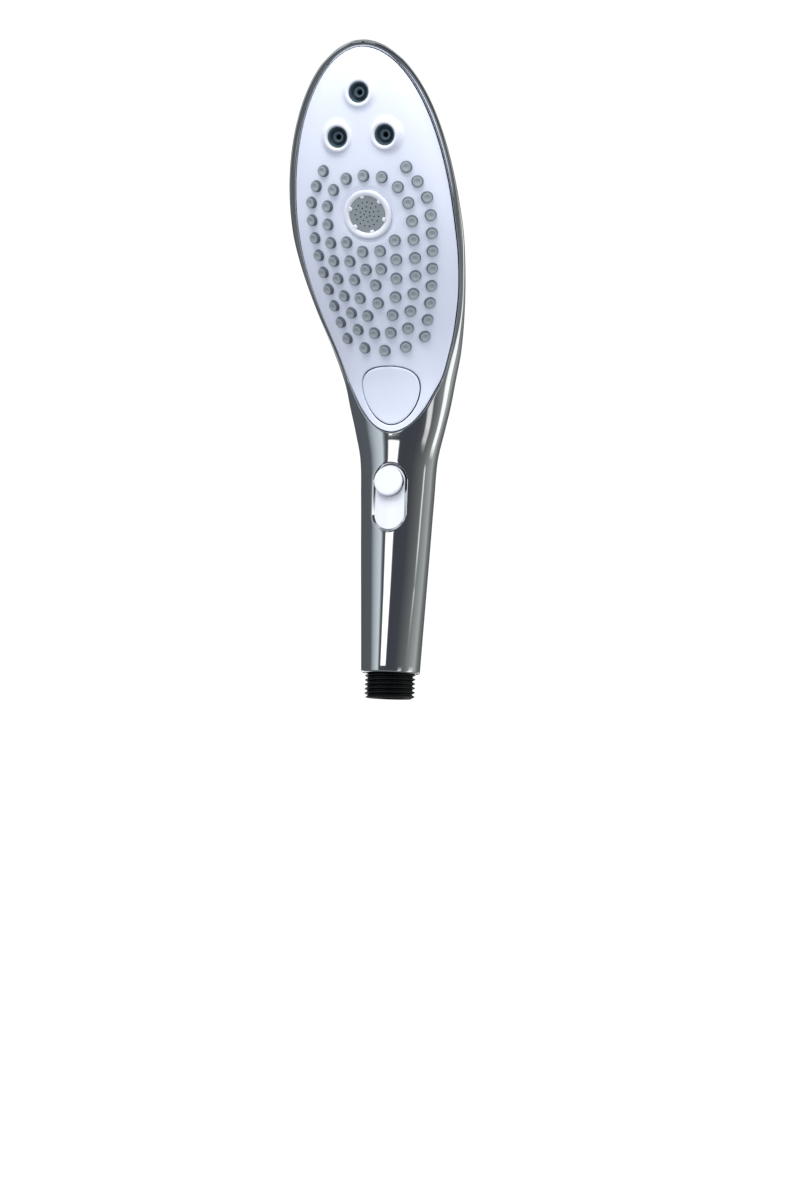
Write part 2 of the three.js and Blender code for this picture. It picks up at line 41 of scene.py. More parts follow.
# ---- driving dimensions, as in the CAD part ----
GAP = 0.35  # between the faceplate and the chrome
HANDLE_BOTTOM, HEAD_TOP, HEAD_WIDEST = 10.4, 258.6, 188.0
FRONT_Y = -11.4  # the handle's plain front
PLATE_TOP, PLATE_TIP = 255.4, 110.0
JETS = {"top": (0, 236.9), "left": (-9.9, 220.6), "right": (9.9, 220.6)}
CENTRE_Z = 191.6
BUTTON_Z = 125.4
THREAD_R, THREAD_DEPTH, THREAD_PITCH, BORE_R = 10.4775, 1.16, 1.814, 6.6
SLOT_LOW, SLOT_HIGH, SLOT_R = 69.7, 96.2, 6.5
KNOB_Z = 89.3
NECK = 112.0  # where the handle's plain front ends and the face begins
LIP = 0.45  # width of the chrome's rounded lip round the faceplate
END_ROUND = 0.9  # radius at the handle's lower end
INSET = 0.06  # how far the back stays inside the CAD part's


# ---- the outer shape ----
def through(*stations):
    """Smooth curve through (position, value) pairs."""
    t, v = np.array(stations, float).T
    slope = np.gradient(v, t)
    slope[1:-1] = (v[2:] - v[:-2]) / (t[2:] - t[:-2])

    def at(s):
        s = np.clip(s, t[0], t[-1])
        i = np.clip(np.searchsorted(t, s, side="right") - 1, 0, len(t) - 2)
        h = t[i + 1] - t[i]
        u = (s - t[i]) / h
        return ((2 * u**3 - 3 * u**2 + 1) * v[i] + (u**3 - 2 * u**2 + u) * slope[i] * h
                + (3 * u**2 - 2 * u**3) * v[i + 1] + (u**3 - u**2) * slope[i + 1] * h)

    return at


side_width = through((10, 12.2), (35, 13.4), (60, 14.6), (85, 15.7), (100, 16.6), (112, 19.3), (122, 21.8),
                     (132, 24), (145, 27.9), (160, 32.2), (175, 35.3), (HEAD_WIDEST, 36.6), (201, 36))
rim_y = through((10, 0), (60, 0.2), (90, 0.5), (112, 0), (122, -0.8), (132, -2.4), (145, -8), (160, -19.5),
                (175, -31.2), (190, -41.5), (205, -49.6), (220, -56), (235, -61.5), (250, -66.6),
                (HEAD_TOP, -69.2))
front_curve = through((106, FRONT_Y), (114, -12.1), (122, -14.3), (132, -18.3), (145, -25.4), (160, -35),
                      (175, -44), (190, -52), (205, -58.8), (220, -64.3), (235, -68.4), (250, -70.4),
                      (HEAD_TOP, -70.4))
front_power = through((60, 0.5), (112, 0.5), (150, 0.75), (190, 1.05), (235, 1.05))
back_depth = through((10, 12.2), (60, 12.6), (90, 12.6), (128, 12.4), (165, 12.4), (210, 11))
plate_side = through((PLATE_TIP, 0), (111, 3.8), (114.2, 8.8), (120, 13.8), (126, 17.2), (133, 20.8),
                     (142, 24), (152, 27.5), (165, 31.2), (178, 33.2), (HEAD_WIDEST, 33.5), (200, 33.1))
# how far the face rolls back at the faceplate's edge
edge_roll = through((112, 0), (150, 0.3), (190, 0.7), (205, 1.3), (235, 1.4), (256, 1.0))


def domed(s):
    return np.sqrt(np.maximum(1 - s * s, 0))


def body_width(z):
    return np.where(z < HEAD_WIDEST, side_width(z),
                    side_width(HEAD_WIDEST) * domed((z - HEAD_WIDEST) / (HEAD_TOP - HEAD_WIDEST)))


def front_at(z):
    low = -12.2 + (12.2 + FRONT_Y) * (z - 10) / 35
    return np.where(z > 106, front_curve(z), np.where(z > 45, FRONT_Y, low))


def back_at(z):
    s = np.maximum(z - 210, 0) / (HEAD_TOP - 210)
    return rim_y(z) + back_depth(z) * np.sqrt(np.maximum(1 - s**4, 0))


def face_y(x, z):
    across = np.maximum(1 - (x / np.maximum(body_width(z), 1e-6)) ** 2, 0)
    return rim_y(z) + (front_at(z) - rim_y(z)) * across ** front_power(z)


# ---- closed outlines in x and z ----
def resample(points, count, closed=True):
    """Equally spaced points along a polyline."""
    loop = np.vstack([points, points[:1]]) if closed else points
    run = np.concatenate([[0], np.cumsum(np.linalg.norm(np.diff(loop, axis=0), axis=1))])
    s = np.linspace(0, run[-1], count + 1)[:-1] if closed else np.linspace(0, run[-1], count)
    return np.stack([np.interp(s, run, loop[:, k]) for k in range(loop.shape[1])], 1)


def softened(points, passes):
    """A closed loop with each point drawn towards its neighbours."""
    for _ in range(passes):
        points = points / 2 + (np.roll(points, 1, 0) + np.roll(points, -1, 0)) / 4
    return points


def outward(loop):
    """Unit directions away from a closed anticlockwise loop."""
    along = np.roll(loop, -1, 0) - np.roll(loop, 1, 0)
    out = np.stack([along[:, 1], -along[:, 0]], 1)
    return out / np.linalg.norm(out, axis=1, keepdims=True)


def plate_outline(count=420):
    """The faceplate's outline from its tip, anticlockwise seen with x right and z up."""
    z = np.concatenate([PLATE_TIP + np.linspace(0, 1, 60) ** 2 * (HEAD_WIDEST - PLATE_TIP),
                        HEAD_WIDEST + np.sin(np.linspace(0, math.pi / 2, 80)[1:]) * (PLATE_TOP - HEAD_WIDEST)])
    x = np.where(z < HEAD_WIDEST, plate_side(z),
                 plate_side(HEAD_WIDEST) * domed((z - HEAD_WIDEST) / (PLATE_TOP - HEAD_WIDEST)))
    right = np.stack([x, z], 1)
    left = right[::-1][1:-1] * [-1, 1]
    fine = 1600
    loop = softened(resample(np.vstack([right, left]), fine), 40)
    half = loop[: fine // 2 + 1]
    half[0, 0] = half[-1, 0] = 0
    right = resample(half, count // 2 + 1, closed=False)
    return np.vstack([right, right[::-1][1:-1] * [-1, 1]])


OUTLINE = plate_outline()
OUT = outward(OUTLINE)
OUT[0], OUT[len(OUT) // 2] = (0, -1), (0, 1)  # straight down at the tip, straight up at the top


def depth_inside(x, z):
    """Distance from the faceplate's outline, zero outside it."""
    q = np.stack([np.ravel(x), np.ravel(z)], 1)
    far = np.empty(len(q))
    batch = 4000
    for k in range(0, len(q), batch):
        part = q[k : k + batch]
        near = np.argmin(((part[:, None] - OUTLINE[None]) ** 2).sum(2), 1)
        far[k : k + batch] = -((part - OUTLINE[near]) * OUT[near]).sum(1)
    return np.maximum(far, 0).reshape(np.shape(x))


def skin_y(x, z):
    """The finished front surface, with the faceplate's edge rolled back."""
    x, z = np.broadcast_arrays(np.asarray(x, float), np.asarray(z, float))
    roll = np.where(z > NECK, edge_roll(z) * np.exp(-((depth_inside(x, z) / 4.5) ** 2)), 0)
    return face_y(x, z) + roll


def skin(x, z, height=0.0):
    """Points on the front surface, raised along its normal."""
    e = 0.15
    x, z = np.broadcast_arrays(np.asarray(x, float), np.asarray(z, float))
    y = skin_y(x, z)
    dx = (skin_y(x + e, z) - skin_y(x - e, z)) / (2 * e)
    dz = (skin_y(x, z + e) - skin_y(x, z - e)) / (2 * e)
    n = np.stack([dx, -np.ones_like(dx), dz], -1)
    n /= np.linalg.norm(n, axis=-1, keepdims=True)
    return np.stack([x, y, z], -1) + n * np.broadcast_to(height, x.shape)[..., None]


def tangents(x, z, straight=False):
    """One millimetre right and up along the surface, as steps in x and z; then the outward and both directions."""
    e = 0.5
    dx = 0.0 if straight else (face_y(x + e, z) - face_y(x - e, z)) / (2 * e)
    dz = (face_y(x, z + e) - face_y(x, z - e)) / (2 * e)
    out = Vector((float(dx), -1, float(dz))).normalized()
    right = (Vector((1, 0, 0)) - out * out.x).normalized()
    up = out.cross(right)
    return np.array([right.x, right.z]), np.array([up.x, up.z]), out, right, up


# ---- meshes ----
class Piece:
    """Grids of points gathered into one mesh object."""

    def __init__(self, name, *materials):
        self.name, self.materials = name, materials
        self.points, self.faces, self.slots, self.count = [], [], [], 0

    def grid(self, points, slot=0, wrap=False, away=None, toward=None, keep=None):
        """Quads between the rows of points, turned to face away from, or toward, a point."""
        rows, cols = points.shape[:2]
        r = np.arange(rows - 1)[:, None]
        c = np.arange(cols if wrap else cols - 1)[None]
        a, b = r * cols + c, r * cols + (c + 1) % cols
        quads = np.stack([a, b, b + cols, a + cols], -1).reshape(-1, 4)
        flat = points.reshape(-1, 3)
        p = flat[quads]
        if keep is not None:
            quads = quads[keep(p.mean(1))]
            p = flat[quads]
        normal = np.cross(p[:, 2] - p[:, 0], p[:, 3] - p[:, 1])
        ref = away if away is not None else toward
        side = (normal * (p.mean(1) - np.array(ref, float))).sum()
        if (side < 0) == (away is not None):
            quads = quads[:, ::-1]
        self.points.append(flat)
        self.faces.append(quads + self.count)
        self.slots.append(np.full(len(quads), slot))
        self.count += len(flat)
        return self

    def make(self, body="handset", weld=0.002):
        points = np.vstack(self.points)
        faces, slots = np.vstack(self.faces), np.concatenate(self.slots)
        mesh = bpy.data.meshes.new(self.name)
        used, where = np.unique(faces, return_inverse=True)
        key = np.round(points[used] / weld).astype(np.int64)
        _, first, same = np.unique(key, axis=0, return_index=True, return_inverse=True)
        verts = points[used][first] * MM
        faces = same.reshape(-1)[where.reshape(-1)].reshape(-1, 4)
        polys, kept = [], []
        for f, s in zip(faces.tolist(), slots.tolist()):
            g = [v for i, v in enumerate(f) if v != f[i - 1]]
            if len(set(g)) == len(g) and len(g) > 2:
                polys.append(g)
                kept.append(s)
        mesh.from_pydata(verts.tolist(), [], polys)
        mesh.polygons.foreach_set("material_index", kept)
        mesh.polygons.foreach_set("use_smooth", [True] * len(kept))
        for m in self.materials:
            mesh.materials.append(m)
        mesh.update()
        o = bpy.data.objects.new(self.name, mesh)
        bpy.context.scene.collection.objects.link(o)
        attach(o, body)
        return o


def collar(piece, loop, out, steps, slot=0, away=None, toward=None):
    """A band round an opening: each step is a distance out from the loop and a height above the surface."""
    rows = [skin(loop[:, 0] + d * out[:, 0], loop[:, 1] + d * out[:, 1], h) for d, h in steps]
    return piece.grid(np.array(rows), slot, wrap=True, away=away, toward=toward)


def round_collar(piece, x, z, steps, slot=0, sides=64, away=None, toward=None, straight=False):
    """A round feature on the surface, from (radius, height) steps; straight ones ignore the slope sideways."""
    right, up, axis, r3, u3 = tangents(x, z, straight)
    a = np.linspace(0, 2 * math.pi, sides, endpoint=False)
    out = np.cos(a)[:, None] * right + np.sin(a)[:, None] * up
    inner = skin(x, z, -60.0)
    if away is None and toward is None:
        away = inner
    loop = np.broadcast_to(np.array([x, z], float), out.shape)
    if not straight:
        return collar(piece, loop, out, steps, slot, away=away, toward=toward)
    # the outer steps follow the surface, the inner ones a flat plane square to the axis
    rows = []
    for r, h in steps:
        on = skin(x + r * out[:, 0], z + r * out[:, 1], h)
        flat = (skin(x, z) + r * (np.cos(a)[:, None] * np.array(r3) + np.sin(a)[:, None] * np.array(u3))
                + np.array(axis) * h)
        k = np.clip((r - 5.2) / 2.6, 0, 1)
        k = k * k * (3 - 2 * k)
        rows.append(on * k + flat * (1 - k))
    return piece.grid(np.array(rows), slot, wrap=True, away=away, toward=toward)


def relax(mesh, low, high, passes):
    """Evens out a mesh between two heights, with open edges held."""
    count = len(mesh.vertices)
    co = np.empty(count * 3)
    mesh.vertices.foreach_get("co", co)
    co = co.reshape(-1, 3)
    edges = np.empty(len(mesh.edges) * 2, dtype=np.int64)
    mesh.edges.foreach_get("vertices", edges)
    a, b = edges.reshape(-1, 2).T
    used = np.zeros(len(mesh.edges), dtype=int)
    loops = np.empty(len(mesh.loops), dtype=np.int64)
    mesh.loops.foreach_get("edge_index", loops)
    np.add.at(used, loops, 1)
    free = (co[:, 2] > low * MM) & (co[:, 2] <= high * MM)
    for end in (a, b):
        free[end[used == 1]] = False
    fade = np.clip((co[:, 2] / MM - low) / 2, 0, 1) * free
    for _ in range(passes):
        total, n = np.zeros_like(co), np.zeros(count)
        np.add.at(total, a, co[b])
        np.add.at(total, b, co[a])
        np.add.at(n, a, 1)
        np.add.at(n, b, 1)
        co += (total / np.maximum(n, 1)[:, None] - co) * (0.5 * fade)[:, None]
    mesh.vertices.foreach_set("co", co.ravel())
    mesh.update()


def turned(piece, outline, origin, axis, slot=0, sides=96, toward=None, away=None):
    """A round piece from (radius, height) pairs along an axis."""
    axis = np.array(axis, float)
    side = np.cross(axis, [1, 0, 0] if abs(axis[0]) < 0.9 else [0, 1, 0])
    side /= np.linalg.norm(side)
    other = np.cross(axis, side)
    a = np.linspace(0, 2 * math.pi, sides, endpoint=False)
    ring = np.cos(a)[:, None] * side + np.sin(a)[:, None] * other
    rows = np.array([np.array(origin) + r * ring + h * axis for r, h in outline])
    return piece.grid(rows, slot, wrap=True, away=away, toward=toward)


# ---- materials ----
def material(name, colour, roughness, metallic=0.0, vary=0.03, spread=0.05, scale=60.0, bump=0.02,
             bump_scale=900.0, **sockets):
    """Moulded or plated finish: gentle colour and gloss variation, and a fine surface texture."""
    m = bpy.data.materials.new(name)
    m.use_nodes = True
    nodes, links = m.node_tree.nodes, m.node_tree.links
    shader = nodes["Principled BSDF"]
    shader.inputs["Metallic"].default_value = metallic
    for socket, value in sockets.items():
        shader.inputs[socket.replace("_", " ")].default_value = value
    where = nodes.new("ShaderNodeTexCoord")
    cloud = nodes.new("ShaderNodeTexNoise")
    cloud.inputs["Scale"].default_value = scale
    cloud.inputs["Detail"].default_value = 2
    links.new(where.outputs["Object"], cloud.inputs["Vector"])
    tint = nodes.new("ShaderNodeMix")
    tint.data_type = "RGBA"
    tint.inputs["A"].default_value = (*[c * (1 - vary) for c in colour], 1)
    tint.inputs["B"].default_value = (*[min(c * (1 + vary), 1) for c in colour], 1)
    links.new(cloud.outputs["Fac"], tint.inputs["Factor"])
    links.new(tint.outputs["Result"], shader.inputs["Base Color"])
    gloss = nodes.new("ShaderNodeMapRange")
    gloss.inputs["From Min"].default_value, gloss.inputs["From Max"].default_value = 0.0, 1.0
    gloss.inputs["To Min"].default_value = max(roughness - spread, 0.02)
    gloss.inputs["To Max"].default_value = roughness + spread
    links.new(cloud.outputs["Fac"], gloss.inputs["Value"])
    links.new(gloss.outputs["Result"], shader.inputs["Roughness"])
    if bump:
        grain = nodes.new("ShaderNodeTexNoise")
        grain.inputs["Scale"].default_value = bump_scale
        grain.inputs["Detail"].default_value = 3
        links.new(where.outputs["Object"], grain.inputs["Vector"])
        relief = nodes.new("ShaderNodeBump")
        relief.inputs["Strength"].default_value = bump
        relief.inputs["Distance"].default_value = 0.0002
        links.new(grain.outputs["Fac"], relief.inputs["Height"])
        links.new(relief.outputs["Normal"], shader.inputs["Normal"])
    return m


CHROME = material("chrome", (0.80, 0.815, 0.82), 0.05, metallic=1, spread=0.02, bump=0.004, bump_scale=160)
PLASTIC = material("white_plastic", (0.79, 0.83, 0.97), 0.28, vary=0.008, spread=0.015, bump=0.012,
                   bump_scale=1400, Coat_Weight=0.25, Coat_Roughness=0.15, Specular_IOR_Level=0.5)
BRIGHT = material("bright_plastic", (0.80, 0.825, 0.90), 0.24, vary=0.006, spread=0.015, bump=0.01,
                  bump_scale=1400, Coat_Weight=0.3, Coat_Roughness=0.12)
NOZZLE = material("grey_silicone", (0.33, 0.37, 0.40), 0.5, vary=0.07, spread=0.08, scale=500, bump=0.12,
                  bump_scale=2600)
# the nozzles' walls: the grey silicone darkened, painted shade on their sides; the tips keep the silicone's own grey
NOZZLE_WALL_SHADE = material("grey_silicone_wall_painted_shade", (0.115, 0.14, 0.17), 0.55, vary=0.08, spread=0.08, scale=500, bump=0.12,
                       bump_scale=2600)
DISC = material("grey_disc", (0.27, 0.31, 0.325), 0.42, vary=0.05, spread=0.06, scale=300, bump=0.08)
# near-black for the centre disc's holes, their walls and the floors that shut them: painted shade in the holes
DISC_HOLE_SHADE = material("disc_hole_painted_shade", (0.035, 0.05, 0.06), 0.6, vary=0.1, scale=400, bump=0.03)
SLATE = material("slate_insert", (0.060, 0.095, 0.125), 0.34, vary=0.08, spread=0.06, scale=300, bump=0.05)
# near-black for the jets' centre holes, their walls and the floors that shut them: painted shade in the holes
JET_HOLE_SHADE = material("jet_hole_painted_shade", (0.006, 0.008, 0.010), 0.5, vary=0.1, scale=300, bump=0.03)
THREAD = material("black_thread", (0.0035, 0.004, 0.0045), 0.4, vary=0.1, spread=0.05, scale=220, bump=0.02,
                  bump_scale=1500)
BLACK_RUBBER = material("black_rubber", (0.018, 0.018, 0.019), 0.7, vary=0.15, scale=260, bump=0.15,
                        bump_scale=1800)
NATURAL = material("natural_acetal", (0.66, 0.64, 0.58), 0.45, vary=0.03, scale=120, bump=0.05)
STEEL = material("spring_steel", (0.52, 0.53, 0.54), 0.28, metallic=1, vary=0.06, spread=0.06, scale=400)
GREEN = material("regulator_green", (0.13, 0.36, 0.14), 0.42, vary=0.05, scale=200, bump=0.05)
FILTER = material("filter_white", (0.70, 0.71, 0.72), 0.4, vary=0.04, scale=260, bump=0.05)
SATIN = material("satin_edge", (0.20, 0.215, 0.23), 0.22, metallic=1, spread=0.05, scale=200, bump=0.02)


# ---- chrome housing ----
def chrome_edge():
    """Where the chrome's front meets its rounded lip round the faceplate."""
    return OUTLINE + OUT * (GAP + LIP)


LIP_TOP = PLATE_TOP + GAP + LIP


def half_section(z, q, front=30, back=64):
    """Right half of a section: from x = q on the front, round the side, to the middle of the back."""
    w, rim = float(body_width(z)), float(rim_y(z))
    reach, power = rim - float(front_at(z)), 2 * float(front_power(z))
    deep = float(back_at(z)) - rim - INSET
    a = np.linspace(math.pi / 2, 0, 900)
    ahead = np.stack([w * np.cos(a), rim - reach * np.sin(a) ** power], 1)
    b = np.linspace(0, math.pi / 2, 500)[1:]
    behind = np.stack([w * np.cos(b), rim + deep * np.sin(b)], 1)
    whole = np.vstack([ahead, behind])
    run = np.concatenate([[0], np.cumsum(np.linalg.norm(np.diff(whole, axis=0), axis=1))])
    seam = run[len(ahead) - 1]
    step = 0.1
    s = np.arange(0, run[-1], step)
    line = np.stack([np.interp(s, run, whole[:, k]) for k in (0, 1)], 1)
    sigma = min(0.8, 0.1 * w) / step
    reach_n = int(4 * sigma) + 1
    kernel = np.exp(-0.5 * (np.arange(-reach_n, reach_n + 1) / sigma) ** 2)
    kernel /= kernel.sum()
    padded = np.pad(line, ((reach_n, reach_n), (0, 0)), mode="edge")
    smooth = np.stack([np.convolve(padded[:, k], kernel, "valid") for k in (0, 1)], 1)
    # rounded only where the front and the back meet
    near = np.exp(-(((s - seam) / 2.5) ** 2))[:, None] * min(1, w / 6)
    line = line * (1 - near) + smooth * near
    start = float(np.interp(q, line[: int(seam / step), 0], s[: int(seam / step)])) if q > 0 else 0.0
    pick = np.concatenate([np.linspace(start, seam, front), np.linspace(seam, run[-1] - step, back)[1:]])
    out = np.stack([np.interp(pick, s, line[:, k]) for k in (0, 1)], 1)
    t = np.clip((pick - start) / max(seam - start, 0.1), 0, 1)
    out[-1, 0] = 0
    if q <= 0:
        out[0, 0] = 0
    if q > 0:
        # the first point meets the lip exactly
        out += (np.array([q, float(face_y(q, z))]) - out[0]) * ((1 - t) ** 6)[:, None]
    if z > NECK:
        # the face rolls back towards its edge in a soft bead, and both fade over the top
        over = np.clip((z - LIP_TOP) / (HEAD_TOP - LIP_TOP), 0, 1)
        t = over + (1 - over) * t
        ahead = np.arange(len(pick)) < front
        out[:, 1] += np.where(ahead, float(edge_roll(z)) * (1 - t), 0)
        out[:, 1] -= np.where(ahead, 0.35 * np.sin(math.pi * t) * min(1, (z - NECK) / 60), 0)
        out[:, 1] += np.where(ahead, 1.2 * over**2 * (1 - (t - over) / max(1 - over, 1e-6)), 0)
    return out


def body_rows():
    """Every height with the half width of the faceplate's opening there."""
    half = len(OUTLINE) // 2
    edge = chrome_edge()[: half + 1]
    first = HANDLE_BOTTOM + END_ROUND
    low = first + np.linspace(0, 1, 66) ** 0.9 * (edge[0, 1] - 0.7 - first)
    turn = np.linspace(0, math.pi / 2, 12)[1:]
    top = edge[-1, 1] + np.sin(turn) * (HEAD_TOP - edge[-1, 1] - 0.05)
    return [(z, 0.0) for z in low] + [(z, x) for x, z in edge] + [(z, 0.0) for z in top]


def housing():
    piece = Piece("chrome_housing", CHROME)
    rows = body_rows()
    right = []
    for z, q in rows:
        section = half_section(z, q)
        right.append(np.column_stack([section, np.full(len(section), z)]))
    right = np.array(right)
    # a last row drawn together closes the very top
    close = np.broadcast_to([0, right[-1, :, 1].mean(), HEAD_TOP - 0.04], right[-1:].shape)
    right = np.concatenate([right, close])
    left = right * [-1, 1, 1]
    def clear(centre):
        """Leaves the slider's opening free."""
        x, z = centre[:, 0], centre[:, 2]
        inside = np.hypot(x, z - np.clip(z, SLOT_LOW + SLOT_R, SLOT_HIGH - SLOT_R)) < SLOT_R + 1.7
        return ~(inside & (centre[:, 1] < 0))

    for half in (right, left):
        piece.grid(half, away=(0, -20, 120), keep=clear)
    # rounded lip and wall round the faceplate
    steps = [(LIP, 0), (0.3, -0.03), (0.17, -0.09), (0.07, -0.19), (0.01, -0.33), (0, -0.5), (0, -1.2), (0, -2.3)]
    collar(piece, OUTLINE + OUT * GAP, OUT, steps, toward=(0, -60, 180))
    # slider opening: a broad chamfer down to the plate
    a = np.linspace(0, math.pi, 48)
    arc = np.stack([np.cos(a), np.sin(a)], 1) * SLOT_R
    straight = np.linspace(SLOT_LOW + SLOT_R, SLOT_HIGH - SLOT_R, 24)[1:-1]
    side = np.stack([np.full(len(straight), SLOT_R), straight], 1)
    loop = np.vstack([side, arc + [0, SLOT_HIGH - SLOT_R], side[::-1] * [-1, 1], -arc + [0, SLOT_LOW + SLOT_R]])
    steps = [(2.3, 0.02), (1.8, 0.02), (1.35, 0.01), (1.1, -0.02), (0.95, -0.07), (0.85, -0.14), (0.14, -0.5),
             (0.04, -0.56), (0, -0.66), (0, -1.5)]
    collar(piece, loop, outward(loop), steps, away=(0, 30, 83))
    # lower end: small round, flat rim, and a short way up inside
    last = np.vstack([right[0], left[0][::-1][1:-1]])
    a = np.arctan2(last[:, 1], last[:, 0])
    r = np.hypot(last[:, 0], last[:, 1])
    end = []
    for t in np.linspace(0, math.pi / 2, 6):
        k = (r - END_ROUND * (1 - math.cos(t))) / r
        z = HANDLE_BOTTOM + END_ROUND * (1 - math.sin(t))
        end.append(np.column_stack([last[:, :2] * k[:, None], np.full(len(last), z)]))
    for radius, rise in ((10.9, 0), (10.75, 0.12), (10.7, 0.4), (10.7, 4.1)):
        end.append(np.column_stack([radius * np.cos(a), radius * np.sin(a), np.full(len(a), HANDLE_BOTTOM + rise)]))
    piece.grid(np.array(end), wrap=True, away=(0, 0, 40))
    o = piece.make()
    relax(o.data, 250.0, HEAD_TOP, 60)
    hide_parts("housing_shell")
    return o


# ---- spray face ----
def run_places(points, count):
    """Equal steps along a smooth curve on the face."""
    if count == 1:
        return list(points)
    p = np.array([(x, float(face_y(x, z)), z) for x, z in points])
    ends = np.vstack([2 * p[0] - p[1], p, 2 * p[-1] - p[-2]])
    curve = []
    for k in range(1, len(ends) - 2):
        a, b, c, d = ends[k - 1 : k + 3]
        t = [0.0]
        for u, v in ((a, b), (b, c), (c, d)):
            t.append(t[-1] + np.linalg.norm(v - u) ** 0.5)
        for s in np.linspace(t[1], t[2], 80):
            ab = ((t[1] - s) * a + (s - t[0]) * b) / (t[1] - t[0])
            bc = ((t[2] - s) * b + (s - t[1]) * c) / (t[2] - t[1])
            cd = ((t[3] - s) * c + (s - t[2]) * d) / (t[3] - t[2])
            abc = ((t[2] - s) * ab + (s - t[0]) * bc) / (t[2] - t[0])
            bcd = ((t[3] - s) * bc + (s - t[1]) * cd) / (t[3] - t[1])
            curve.append(((t[2] - s) * abc + (s - t[1]) * bcd) / (t[2] - t[1]))
    return [(q[0], q[2]) for q in resample(np.array(curve), count, closed=False)]


NOZZLE_RUNS = [
    ([(17.4, 208.8), (24.3, 198.3), (24.8, 185.4), (23.2, 172.6), (20.5, 160.1), (16.6, 147.7)], 11),
    ([(8.8, 143.4), (0, 142)], 2),
    ([(0, 205.7), (7.5, 205), (13.6, 201.3), (17.2, 195.2), (17.5, 181.9), (16.4, 169), (12.6, 156.5),
      (10.7, 150.3)], 11),
    ([(3.5, 148.6)], 1),
    ([(10.2, 182), (9.8, 174.7), (7.5, 161.4), (5.3, 155)], 5),
    ([(3.7, 178.2), (3.2, 171.7)], 2),
    ([(0, 165.9), (0, 159.4)], 2),
]
NOZZLES = []
for points, count in NOZZLE_RUNS:
    for x, z in run_places(points, count):
        NOZZLES += [(0.0, z)] if abs(x) < 0.1 else [(x, z), (-x, z)]


def button_loop(grow=0.0, count=240):
    """The select button's rounded triangle in x and z."""
    top, side, tip = 11 + grow, 12.5 + grow, 13 + grow
    runs = [((0, -tip), (6.4 + grow, -tip), (side, -3.6), (side, 3.6)),
            ((side, 3.6), (side, top * 0.85), (side * 0.62, top), (0, top))]
    t = np.linspace(0, 1, 200)[:, None]
    right = np.vstack([(1 - t) ** 3 * a + 3 * (1 - t) ** 2 * t * b + 3 * (1 - t) * t**2 * c + t**3 * d
                       for a, b, c, d in np.array(runs)])
    right = right[np.r_[True, np.abs(np.diff(right, axis=0)).sum(1) > 1e-9]]
    loop = resample(np.vstack([right, right[::-1][1:-1] * [-1, 1]]), count)
    return loop * [1, BUTTON_UP] + [0, BUTTON_Z]


BUTTON_UP = float(tangents(0, BUTTON_Z)[4].z)  # height in z of one millimetre up the button
BUTTON_EDGE = 0.42  # gap round the button


def in_button(x, z, grow):
    loop = button_loop(grow) - [0, BUTTON_Z]
    angle = np.arctan2(loop[:, 1], loop[:, 0])
    order = np.argsort(angle)
    r = np.interp(np.arctan2(z - BUTTON_Z, x), angle[order], np.hypot(loop[:, 0], loop[:, 1])[order],
                  period=2 * math.pi)
    return np.hypot(x, z - BUTTON_Z) < r


JET_COLLAR, RING_COLLAR = 8.5, 13.2  # outer radii of the soft bosses and of the groove


def faceplate():
    piece = Piece("faceplate", PLASTIC, BRIGHT)
    margin = 1.3
    half = len(OUTLINE) // 2
    inner = (OUTLINE - OUT * margin)[: half + 1]
    inner[0, 0] = inner[-1, 0] = 0
    u = np.sin(np.linspace(-math.pi / 2, math.pi / 2, 150))
    u = u * 0.45 + np.linspace(-1, 1, 150) * 0.55
    x = inner[:, :1] * u[None]
    z = np.broadcast_to(inner[:, 1:], x.shape)

    def clear(centre):
        """Leaves the button's opening, the jets' bosses and the centre ring's groove free."""
        x, z = centre[:, 0], centre[:, 2]
        keep = ~in_button(x, z, 1.5)
        for (jx, jz), radius in [*((p, JET_COLLAR) for p in JETS.values()), ((0, CENTRE_Z), RING_COLLAR)]:
            right, up = tangents(jx, jz)[:2]
            keep &= np.hypot((x - jx) / right[0], (z - jz) / up[1]) > radius - 0.9
        return keep

    behind = (0, 60, 150)
    piece.grid(skin(x, z), away=behind, keep=clear)
    steps = [(-margin, 0), (-1.0, 0), (-0.75, -0.01), (-0.55, -0.04), (-0.38, -0.1), (-0.22, -0.2), (-0.1, -0.33),
             (-0.02, -0.5), (0, -0.7), (0, -1.4), (0, -2.2)]
    collar(piece, OUTLINE, OUT, steps, away=(0, -20, 185))
    # button opening
    loop = button_loop(BUTTON_EDGE)
    steps = [(2.4, 0.015), (1.9, 0.015), (1.4, 0.015), (0.9, 0.01), (0.55, 0), (0.35, -0.03), (0.2, -0.09),
             (0.08, -0.2), (0.01, -0.36), (0.02, -0.6), (0.75, -2.4)]
    collar(piece, loop, outward(loop), steps, toward=(0, -60, 125))
    # bosses of the three jets
    boss = [(JET_COLLAR, 0.015), (8.2, 0.02), (7.9, 0.04), (7.5, 0.09), (7.1, 0.18), (6.7, 0.31), (6.35, 0.5),
            (6.1, 0.72), (5.9, 0.95), (5.7, 1.14), (5.45, 1.28), (5.15, 1.35), (4.85, 1.34), (4.6, 1.24),
            (4.4, 1.08), (4.26, 0.86), (4.18, 0.6), (4.14, 0.3), (4.12, 0), (4.12, -1.5)]
    for name, (x, z) in JETS.items():
        # the top one is a little lower, so that the head's front stays inside its box
        steps = [(r, h * (0.78 if name == "top" else 1)) for r, h in boss]
        round_collar(piece, x, z, steps[:9], sides=96, straight=True)
        round_collar(piece, x, z, steps[8:], slot=1, sides=96, straight=True)
    # soft groove round the centre ring
    groove = [(RING_COLLAR, 0.015), (12.7, 0.015), (12.2, 0.0), (11.8, -0.06), (11.45, -0.17), (11.1, -0.3),
              (10.75, -0.4), (10.4, -0.45), (10.15, -0.48), (10.05, -0.8), (10.05, -1.8)]
    round_collar(piece, 0, CENTRE_Z, groove, sides=128)
    o = piece.make()
    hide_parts("spray_faceplate")
    return o


